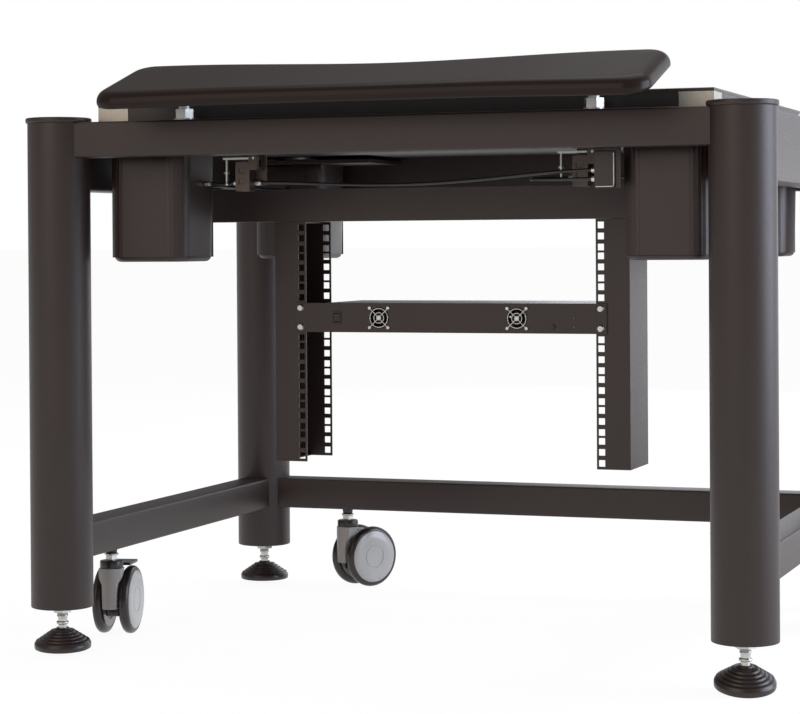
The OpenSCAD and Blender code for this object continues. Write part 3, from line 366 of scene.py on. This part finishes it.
# Isolators: four deep moulded cups with round corners and a slight draft hold the air chambers.
# A zinc plated piston comes up through each corner plate and carries the breadboard.
cup_black = smooth_plastic("moulded_cup_black", "#271A18", 0.42, grain_mm=1.6, depth=0.06)
cup_width, cup_height, cup_corner, cup_draft, cup_toe = 0.124, 0.1545, 0.028, 0.955, 0.009
cup_wall, cup_well = 0.004, 0.148
cup_reach, well_reach = 0.07, cup_width / 2 - cup_wall + 0.0005  # what tells a new cup and its well
cup_x, cup_y, cup_foot = 0.381, 0.262, 0.553
cups = bmesh.new()
for sx in (-1, 1):
    for sy in (-1, 1):
        cup = bmesh.ops.create_cube(cups, size=1)["verts"]
        bmesh.ops.scale(cups, vec=(cup_width, cup_width, cup_height), verts=cup)
        sides = {e for v in cup for e in v.link_edges}
        upright = [e for e in sides if abs(e.verts[0].co.z - e.verts[1].co.z) > 0.1]
        rounded(cups, upright, cup_corner, 8)
        mine = [v for v in cups.verts if abs(v.co.x) < cup_reach and abs(v.co.y) < cup_reach]
        faces = {f for v in mine for f in v.link_faces}
        base = [f for f in faces if f.normal.z < -0.9][0]
        roof = [f for f in faces if f.normal.z > 0.9]
        for v in base.verts:
            v.co.x *= cup_draft
            v.co.y *= cup_draft
        rounded(cups, list(base.edges), cup_toe, 5)
        bmesh.ops.inset_region(cups, faces=[f for f in roof if f.is_valid], thickness=cup_wall, depth=0)
        inner = [f for f in cups.faces
                 if f.normal.z > 0.9 and all(abs(v.co.x) < well_reach for v in f.verts)]
        for f in bmesh.ops.extrude_discrete_faces(cups, faces=inner)["faces"]:
            bmesh.ops.translate(cups, vec=(0, 0, -cup_well), verts=list(f.verts))
        mine = [v for v in cups.verts if abs(v.co.x) < cup_reach and abs(v.co.y) < cup_reach]
        bmesh.ops.translate(cups, vec=(sx * cup_x, sy * cup_y, cup_foot + cup_height / 2), verts=mine)
piece("isolator_cup_mouldings", cups, "frame", cup_black, ["isolator_cups"], sharp=40)


def plated(name, colour, roughness, streak_mm=0.9, brushed=(1, 1, 1)):
    """Bare or plated metal: a tight brushed or tumbled grain, slightly cloudy."""
    material, tree = new_material(name)
    place = add(tree, "ShaderNodeTexCoord").outputs["Object"]
    drawn = add(tree, "ShaderNodeMapping", {"Vector": place, "Scale": brushed}).outputs[0]
    grain = add(tree, "ShaderNodeTexNoise", {"Vector": drawn, "Scale": 1000 / streak_mm, "Detail": 3.0})
    cloud = add(tree, "ShaderNodeTexNoise", {"Vector": place, "Scale": 30.0, "Detail": 3.0}).outputs["Fac"]
    soft = add(tree, "ShaderNodeBevel", {"Radius": 0.0005}, samples=4).outputs[0]
    shade = blended(tree, cloud, shaded(linear(colour), 0.82), linear(colour))
    rough = add(tree, "ShaderNodeMapRange", {
        "Value": grain.outputs["Fac"], "To Min": roughness - 0.08, "To Max": roughness + 0.1})
    bump = add(tree, "ShaderNodeBump", {
        "Height": grain.outputs["Fac"], "Strength": 0.12, "Distance": 0.0002, "Normal": soft})
    surface(tree, add(tree, "ShaderNodeBsdfPrincipled", {
        "Base Color": shade, "Metallic": 1.0, "Roughness": rough.outputs[0], "Normal": bump.outputs[0]}))
    return material


zinc = plated("zinc_plate", "#C9C9C6", 0.36)
diaphragm_rubber = smooth_plastic("diaphragm_rubber", "#111010", 0.6, grain_mm=0.8, depth=0.2)
dress(zinc, "isolator_pistons")
dress(diaphragm_rubber, "isolator_diaphragms")

# Breadboard: a stainless skin with a 25 mm grid of tapped holes over a bonded core, painted side panels,
# and bare milled blocks in its corners. It hangs on the pistons alone, with a gap to the frame all round.
ground_steel = plated("ground_stainless", "#BDB9B2", 0.38, streak_mm=1.2, brushed=(0.05, 1, 1))
milled_block = plated("milled_block", "#B3B0A8", 0.42, streak_mm=1.4, brushed=(1, 1, 0.15))
skin_high = Vector(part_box("breadboard_top_skin")[1]) - back
grid, columns, rows, chamfer, skin_side = 0.025, 17, 12, 0.0008, 0.0041
mouth_radius, bore_radius, bore_floor = 0.0040, 0.0026, -0.0046

# One cell of the grid: a square round a countersunk blind hole.
cell = bmesh.new()
mouth = bmesh.ops.create_circle(cell, segments=12, radius=mouth_radius)["verts"]
bmesh.ops.rotate(cell, verts=mouth, cent=(0, 0, 0), matrix=Matrix.Rotation(radians(15), 3, "Z"))
square = bmesh.ops.create_grid(cell, x_segments=3, y_segments=3, size=grid / 2)["verts"]
bmesh.ops.delete(cell, geom=cell.faces[:], context="FACES_ONLY")
middle = [v for v in square if v.is_valid and abs(v.co.x) < 0.005 and abs(v.co.y) < 0.005]
bmesh.ops.delete(cell, geom=middle, context="VERTS")
inside = [e for e in cell.edges if e.is_valid and e.verts[0].co.length > 0.01
          and max(abs(e.verts[0].co.x + e.verts[1].co.x),
                  abs(e.verts[0].co.y + e.verts[1].co.y)) < grid * 0.99]
bmesh.ops.delete(cell, geom=inside, context="EDGES")
bmesh.ops.bridge_loops(cell, edges=cell.edges[:])
for radius, depth in ((0.0032, -0.0008), (bore_radius, -0.0010), (bore_radius, bore_floor)):
    ring = [e for e in cell.edges if e.is_boundary and e.verts[0].co.length < 0.006]
    for v in bmesh.ops.extrude_edge_only(cell, edges=ring)["geom"]:
        if isinstance(v, bmesh.types.BMVert):
            flat = Vector((v.co.x, v.co.y, 0)).normalized() * radius
            v.co = (flat.x, flat.y, depth)
bottom = [e for e in cell.edges if e.is_boundary and e.verts[0].co.z < -0.004]
bmesh.ops.contextual_create(cell, geom=bottom)
one = bpy.data.meshes.new("hole_cell")
cell.to_mesh(one)
cell.free()

skin = bmesh.new()
for i in range(-columns, columns + 1):
    for j in range(-rows, rows + 1):
        before = len(skin.verts)
        skin.from_mesh(one)
        skin.verts.ensure_lookup_table()
        bmesh.ops.translate(skin, vec=(i * grid, j * grid, skin_high.z), verts=skin.verts[before:])
bpy.data.meshes.remove(one)
bmesh.ops.remove_doubles(skin, verts=skin.verts[:], dist=1e-5)

# From the cells outwards: a flat border, a small chamfer, the side, and the underside.
cells_end = ((columns + 0.5) * grid, (rows + 0.5) * grid)
border_end = (skin_high.x - chamfer, skin_high.y - chamfer)
edge_loop = [e for e in skin.edges if e.is_boundary]
for (old_x, old_y), (x, y), drop in ((cells_end, border_end, 0), (border_end, skin_high.xy, chamfer)):
    grown = bmesh.ops.extrude_edge_only(skin, edges=edge_loop)["geom"]
    for v in grown:
        if isinstance(v, bmesh.types.BMVert):
            if abs(abs(v.co.x) - old_x) < 1e-5:
                v.co.x = x if v.co.x > 0 else -x
            if abs(abs(v.co.y) - old_y) < 1e-5:
                v.co.y = y if v.co.y > 0 else -y
            v.co.z -= drop
    edge_loop = [e for e in grown if isinstance(e, bmesh.types.BMEdge)]
grown = bmesh.ops.extrude_edge_only(skin, edges=edge_loop)["geom"]
bmesh.ops.translate(skin, vec=(0, 0, -skin_side),
                    verts=[v for v in grown if isinstance(v, bmesh.types.BMVert)])
bmesh.ops.contextual_create(skin, geom=[e for e in grown if isinstance(e, bmesh.types.BMEdge)])
bmesh.ops.recalc_face_normals(skin, faces=skin.faces[:])
top_skin = piece("breadboard_skin_tapped", skin, "breadboard", ground_steel,
                 ["breadboard_top_skin"], sharp=25)
side_coat = powder_coat("side_panel_coat", "#2A2423", 0.4)
top_skin.data.materials.append(side_coat)
for f in top_skin.data.polygons:
    out = max(abs(f.center.x) - skin_high.x, abs(f.center.y - back.y) - skin_high.y)
    if abs(f.normal.z) < 0.5 and out > -0.001:
        f.material_index = 1
dress(side_coat, "breadboard_shell")
dress(milled_block, "breadboard_corner_blocks")
dress(plated("core_sheet", "#A9A9A9", 0.45), "breadboard_core")

# Armrest: a steel plate on two threaded studs carries a moulded pad of self skinning foam.
# Foam of this kind has a tough leathery skin with a fine grain, a crowned top and no seams.
pad_skin, tree = new_material("self_skin_foam")
place = add(tree, "ShaderNodeTexCoord").outputs["Object"]
grain = add(tree, "ShaderNodeTexVoronoi", {"Vector": place, "Scale": 520.0, "Randomness": 1.0},
            feature="SMOOTH_F1")
cloud = add(tree, "ShaderNodeTexNoise", {"Vector": place, "Scale": 7.0, "Detail": 4.0}).outputs["Fac"]
shade = blended(tree, cloud, linear("#1F1512"), linear("#271C18"))
bump = add(tree, "ShaderNodeBump",
           {"Height": grain.outputs["Distance"], "Strength": 0.18, "Distance": 0.0005})
rough = add(tree, "ShaderNodeMapRange", {"Value": cloud, "To Min": 0.44, "To Max": 0.56})
surface(tree, add(tree, "ShaderNodeBsdfPrincipled", {
    "Base Color": shade, "Roughness": rough.outputs[0], "Normal": bump.outputs[0],
    "Specular IOR Level": 0.08, "Coat Weight": 0.2, "Coat Roughness": 0.2}))
pad_length, pad_depth, pad_thick, pad_corner, pad_tilt = 0.778, 0.171, 0.0218, 0.035, radians(18)
pad_bow, pad_hollow, hollow_reach = 0.008, 0.32, 0.42
under_round, upper_round = 0.0045, 0.0165
pad_x, pad_y, pad_z = 0.013, -0.340, 0.7606
slices, slice_wide, slice_lines = 17, 0.0197, (-0.02, -0.045, -0.07, -0.095, -0.12, -0.145)


def blend(t):
    """A soft step from 0 to 1."""
    t = min(1, max(0, t))
    return t * t * (3 - 2 * t)


def cut(made, spot, way):
    """Cuts a bmesh with a plane, so that it can be bent there, and keeps both sides."""
    whole = made.verts[:] + made.edges[:] + made.faces[:]
    bmesh.ops.bisect_plane(made, geom=whole, plane_co=spot, plane_no=way)


def outline(made, low, high):
    """The edges between two heights that have a side face next to them."""
    return [e for e in made.edges if low < e.verts[0].co.z < high and low < e.verts[1].co.z < high
            and len(e.link_faces) == 2 and any(abs(f.normal.z) < 0.5 for f in e.link_faces)]


pad = bmesh.new()
body = bmesh.ops.create_cube(pad, size=1)["verts"]
bmesh.ops.scale(pad, vec=(pad_length, pad_depth, pad_thick), verts=body)
bmesh.ops.translate(pad, vec=(0, -pad_depth / 2, pad_thick / 2), verts=body)
upright = [e for e in pad.edges if abs(e.verts[0].co.z - e.verts[1].co.z) > 0.01]
rounded(pad, upright, pad_corner, 14)
for k in range(-slices, slices + 1):
    cut(pad, (k * slice_wide, 0, 0), (1, 0, 0))
ends = pad_length / 2 - pad_corner
for v in pad.verts:
    if v.co.y < -pad_depth + 0.001:
        v.co.y += pad_bow * blend((ends - abs(v.co.x)) / (pad_length / 4))
rounded(pad, outline(pad, -1, 0.001), under_round, 4, clamp=True)
rounded(pad, outline(pad, pad_thick - 0.001, 1), upper_round, 8, clamp=True)
for y in slice_lines:
    cut(pad, (0, y, 0), (0, 1, 0))
bmesh.ops.triangulate(pad, faces=[f for f in pad.faces if len(f.verts) > 4])
bmesh.ops.remove_doubles(pad, verts=pad.verts[:], dist=1e-5)
for v in pad.verts:
    across = blend(1 - abs(v.co.x) / (hollow_reach * pad_length))
    v.co.z *= 1 - pad_hollow * across * (v.co.y + pad_depth) / pad_depth
pad_rear = Vector((pad_x, pad_y, pad_z + pad_depth * sin(pad_tilt)))
seat = Matrix.Translation(pad_rear) @ Matrix.Rotation(pad_tilt, 4, "X")
bmesh.ops.transform(pad, matrix=seat, verts=pad.verts[:])
armrest = piece("armrest_foam_pad", pad, "frame", pad_skin, ["armrest_pad"], sharp=180)
dress(zinc, "armrest_studs")

# Rack: two folded steel channels with square holes hang from the cross beam and carry one module.
# The square holes take cage nuts; the panel is held by four bright pan head screws.
dress(black_coat, "rack_left_channel", "rack_right_channel", "module_panel")
dress(zinc, "rack_screws", "fan_guards")
dress(plated("lid_sheet", "#D2D4D4", 0.4, streak_mm=1.0), "module_lid")
fan_black = smooth_plastic("fan_plastic_black", "#151312", 0.45)
dress(fan_black, "fan_housings", "fan_rotor_left", "fan_rotor_right", "switch_housing", "rocker_switch",
      "push_button")
dress(smooth_plastic("lens_plastic", "#3E4A33", 0.2, coat=0.6), "indicator_lights")

# Air supply: a small panel under the front beam, a manifold behind it and three levelling valves.
# Each valve has a bright lever with an adjusting rod that feels the breadboard's height. A thin line is
# printed along two edges of the panel.
brown_anodised = plated("brown_anodised", "#5E5450", 0.5)
dress(brown_anodised, "levelling_valves", "air_manifold")
dress(zinc, "lever_front_left", "lever_front_right", "lever_rear", "push_in_fittings")
dress(black_coat, "control_panel")
panel_low, panel_high = (Vector(corner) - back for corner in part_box("control_panel"))
corner_r, inset, end_gap, half_line, line_rise = 0.004, 0.0012, 0.002, 0.00065, 0.0006
line_y = panel_low.y + 0.0002
line_r = corner_r - inset
edge = [Vector((panel_low.x + end_gap, panel_low.z + inset)),
        Vector((panel_high.x - corner_r, panel_low.z + inset))]
edge += [Vector((panel_high.x - corner_r + line_r * sin(radians(a)),
                 panel_low.z + corner_r - line_r * cos(radians(a)))) for a in range(15, 91, 15)]
edge += [Vector((panel_high.x - inset, panel_high.z - end_gap))]
marks = bmesh.new()
for p, q in zip(edge, edge[1:]):
    side = Vector((q.y - p.y, p.x - q.x)).normalized() * half_line
    corners = (p + side, q + side, q - side, p - side)
    ring = [[marks.verts.new((c.x, y, c.y)) for c in corners] for y in (line_y, line_y - line_rise)]
    for i in range(4):
        marks.faces.new((ring[0][i], ring[0][(i + 1) % 4], ring[1][(i + 1) % 4], ring[1][i]))
    marks.faces.new(ring[1])
    marks.faces.new(ring[0][::-1])
bmesh.ops.recalc_face_normals(marks, faces=marks.faces[:])
printed_white = smooth_plastic("printed_line_white", "#DCDCD8", 0.5)
piece("control_panel_edge_line", marks, "frame", printed_white)

# Levelling feet: a ribbed moulded pad under a zinc plated ball neck and an M16 stem, held by a locknut.
# The workstation stands on its castors, so the pads hang free: the front ones have tilted on their necks.
foot_rubber = smooth_plastic("foot_moulding", "#241A18", 0.34, grain_mm=0.7, depth=0.1)
ribs, rib_step, rib_rise, neck_z = 5, 0.0051, 0.0035, 0.0300
thread_from, thread_turns, thread_radius, thread_cut, stem_top = 0.0470, 52, 0.0080, 0.0009, 0.0990
foot_leans = {"front_right": 12, "front_left": 3}
pad_line = [(0, 0), (0.0385, 0), (0.0400, 0.0008), (0.0405, 0.0024), (0.0405, 0.0076), (0.0399, 0.0088)]
for k in range(ribs):
    r, z = 0.0391 - k * rib_step, 0.0096 + k * rib_rise
    pad_line += [(r, z), (r - 0.0006, z + 0.0019), (r - 0.0018, z + 0.0028), (r - 0.0038, z + 0.0031)]
pad_line += [(0.0122, 0.0272), (0.0104, 0.0279), (0.0090, 0.0290), (0.0088, neck_z), (0, neck_z)]
stem_line = [(0, 0.0295), (0.0062, 0.0295), (0.0062, 0.0346), (0.0082, 0.0352), (0.0087, 0.0360),
             (0.0087, 0.0382), (0.0080, 0.0390), (0.0066, 0.0392), (0.0066, 0.0440), (0.0080, 0.0462)]
stem_line += [(thread_radius - (k % 2) * thread_cut, thread_from + k * 0.001) for k in range(thread_turns)]
stem_line += [(0.0066, stem_top), (0, stem_top)]
for name, (x, y) in zip(("front_left", "rear_left", "front_right", "rear_right"), leg_spots):
    foot = bmesh.new()
    turned(foot, pad_line, (x, y, 0), steps=72)
    lean = Matrix.Rotation(radians(foot_leans.get(name, 0)), 3, level)
    bmesh.ops.rotate(foot, verts=foot.verts[:], cent=(x, y, neck_z), matrix=lean)
    piece("foot_pad_" + name, foot, "foot_" + name, foot_rubber, ["foot_" + name], sharp=50)
    stem = bmesh.new()
    turned(stem, stem_line, (x, y, 0), steps=32)
    piece("foot_stem_" + name, stem, "foot_" + name, zinc, sharp=60)
dress(zinc, "foot_locknuts")

# Castors: each has a threaded stem with its nut, a black swivel cap over a narrow grey moulded shield,
# and a pair of wheels of black polyurethane with a satin grey disc in their outer faces.
fork_grey = smooth_plastic("fork_moulding_grey", "#9A9795", 0.4, grain_mm=0.9, depth=0.08)
disc_grey = smooth_plastic("hub_disc_grey", "#A8A6A3", 0.3, coat=0.25)
tyre_black = smooth_plastic("tyre_black", "#1F1716", 0.27)
castors = {"left_side": (-0.495, -0.211, 101), "right_side": (0.495, 0.200, -75),
           "rear_left": (-0.340, 0.366, 59), "rear_right": (0.340, 0.366, 100)}
boss_line = [(0, 0.1166), (0.0076, 0.1166), (0.0082, 0.1172), (0.0088, 0.1235), (0.0090, 0.1259), (0, 0.1259)]
# The nut's two halves, turned in six steps as a hexagon, then the washer and the stem.
nut_lines = [
    (6, [(0, 0.1061), (0.0058, 0.1061), (0.0058, 0.1068), (0.0084, 0.1070), (0.0095, 0.1077)]),
    (6, [(0.0095, 0.1077), (0.0095, 0.1139), (0.0086, 0.1147), (0, 0.1149)]),
    (40, [(0, 0.1146), (0.0105, 0.1146), (0.0105, 0.1163), (0, 0.1163)]),
    (32, [(0, 0.0900), (0.0059, 0.0900), (0.0059, 0.1640), (0.0052, 0.1648), (0, 0.1648)])]
bosses, nuts = bmesh.new(), bmesh.new()
for x, y, _ in castors.values():
    turned(bosses, boss_line, (x, y, 0), steps=40)
    for steps, line in nut_lines:
        turned(nuts, line, (x, y, 0), steps=steps)
piece("castor_stem_bosses", bosses, "frame", tyre_black, ["castor_stems"], sharp=40)
piece("castor_stem_nuts", nuts, "frame", zinc, ["castor_stems"], sharp=30)


def castor_piece(name, place, part, made, material):
    """Sets a finished part of a castor in its place: tyres and discs on its wheels, the rest on its fork."""
    bmesh.ops.transform(made, matrix=place, verts=made.verts[:])
    rolls = part in ("tyres", "discs")
    body, node = ("wheels_", "castor_wheels_") if rolls else ("castor_", "castor_fork_")
    piece(f"castor_{part}_{name}", made, body + name, material, [node + name], sharp=40)


trail, axle_z, wheel_apart = 0.035, 0.0425, 0.012
tyre_line = [(0.0052, 0.001), (0.0418, 0.001), (0.0421, 0), (0.0455, 0.0006), (0.0485, 0.0022),
             (0.0502, 0.0045), (0.0509, 0.0075), (0.0509, 0.0095), (0.0502, 0.0125), (0.0482, 0.0147),
             (0.0455, 0.0157), (0.0437, 0.0161), (0.0436, 0.0152), (0.0052, 0.0152), (0.0052, 0.001)]
disc_line = [(0, 0.0145), (0.0434, 0.0153), (0.0434, 0.0159), (0.0428, 0.0163), (0.0300, 0.0169),
             (0.0192, 0.0170), (0.0189, 0.0163), (0.0180, 0.0163), (0.0177, 0.0169), (0.0080, 0.0170),
             (0, 0.0170)]
back_disc_line = [(0.0300, 0.0009), (0.0300, 0.0002), (0.0415, 0.0002), (0.0415, 0.0009), (0.0300, 0.0009)]
swivel_cap_line = [(0, 0.0950), (0.0166, 0.0950), (0.0174, 0.0956), (0.0175, 0.0965), (0.0175, 0.1044),
                   (0.0172, 0.1054), (0.0164, 0.1059), (0, 0.1060)]
hub_line = [(0, -0.0113), (0.0125, -0.0113), (0.0130, -0.0108), (0.0130, 0.0108), (0.0125, 0.0113),
            (0, 0.0113)]
pin_line = [(0, -0.0116), (0.0042, -0.0116), (0.0048, -0.0112), (0.0048, 0.0112), (0.0042, 0.0116),
            (0, 0.0116)]
# The shield from the top down: height, half width, nose and tail of each row. Its front is slightly curved.
shield_rows = [
    (0.0947, 0.0172, -0.0173, 0.0100), (0.0880, 0.0172, -0.0175, 0.0060),
    (0.0820, 0.0168, -0.0176, -0.0010), (0.0780, 0.0155, -0.0177, -0.0040),
    (0.0740, 0.0135, -0.0177, -0.0070), (0.0715, 0.0120, -0.0177, -0.0085),
    (0.0710, 0.0114, -0.0177, 0.0120), (0.0600, 0.0112, -0.0177, 0.0120),
    (0.0480, 0.0111, -0.0175, 0.0120), (0.0360, 0.0110, -0.0171, 0.0120),
    (0.0340, 0.0104, -0.0166, 0.0115)]
shield_curve, shield_wall, shield_steps = 0.044, 0.0015, 12
for name, (x, y, turn) in castors.items():
    place = Matrix.Translation((x, y, 0)) @ Matrix.Rotation(radians(turn), 4, "Z")
    tyre, disc = bmesh.new(), bmesh.new()
    for s in (-1, 1):
        hub = (trail, s * wheel_apart, axle_z)
        turned(tyre, tyre_line, hub, axis=(0, s, 0), steps=96)
        turned(disc, disc_line, hub, axis=(0, s, 0), steps=96)
        turned(disc, back_disc_line, hub, axis=(0, s, 0), steps=96)
    castor_piece(name, place, "tyres", tyre, tyre_black)
    castor_piece(name, place, "discs", disc, disc_grey)

    cap, shield, pin = bmesh.new(), bmesh.new(), bmesh.new()
    turned(cap, swivel_cap_line, (0, 0, 0), steps=56)
    block(cap, (0.001, -0.0110, 0.0210), (0.016, 0.0110, 0.0345), 0.003)
    block(cap, (0.012, -0.0112, 0.0330), (0.046, 0.0112, 0.0520), 0.006)
    turned(cap, hub_line, (trail, 0, axle_z), axis=(0, 1, 0), steps=40)
    rings = []
    for z, half, nose, tail in shield_rows:
        front = [half * (2 * i / shield_steps - 1) for i in range(shield_steps + 1)]
        spots = [(nose + y * y / shield_curve, y) for y in front]
        spots += [(max(tail, nose + y * y / shield_curve + shield_wall), y) for y in (half, -half)]
        rings.append([shield.verts.new((x, y, z)) for x, y in spots])
    for upper, lower in zip(rings, rings[1:]):
        for i in range(len(upper)):
            k = (i + 1) % len(upper)
            shield.faces.new((upper[i], upper[k], lower[k], lower[i]))
    shield.faces.new(rings[0])
    shield.faces.new(rings[-1][::-1])
    block(shield, (0.004, -0.0110, 0.0480), (0.030, 0.0110, 0.0780), 0.004)
    bmesh.ops.recalc_face_normals(shield, faces=shield.faces[:])
    turned(pin, pin_line, (0.0085, 0, 0.0275), axis=(0, 1, 0), steps=24)
    castor_piece(name, place, "cap", cap, tyre_black)
    castor_piece(name, place, "shield", shield, fork_grey)
    castor_piece(name, place, "pin", pin, zinc)
dress(tyre_black, "brake_pedal_left_side", "brake_pedal_right_side")

scene = bpy.context.scene
scene.view_settings.view_transform = "Standard"
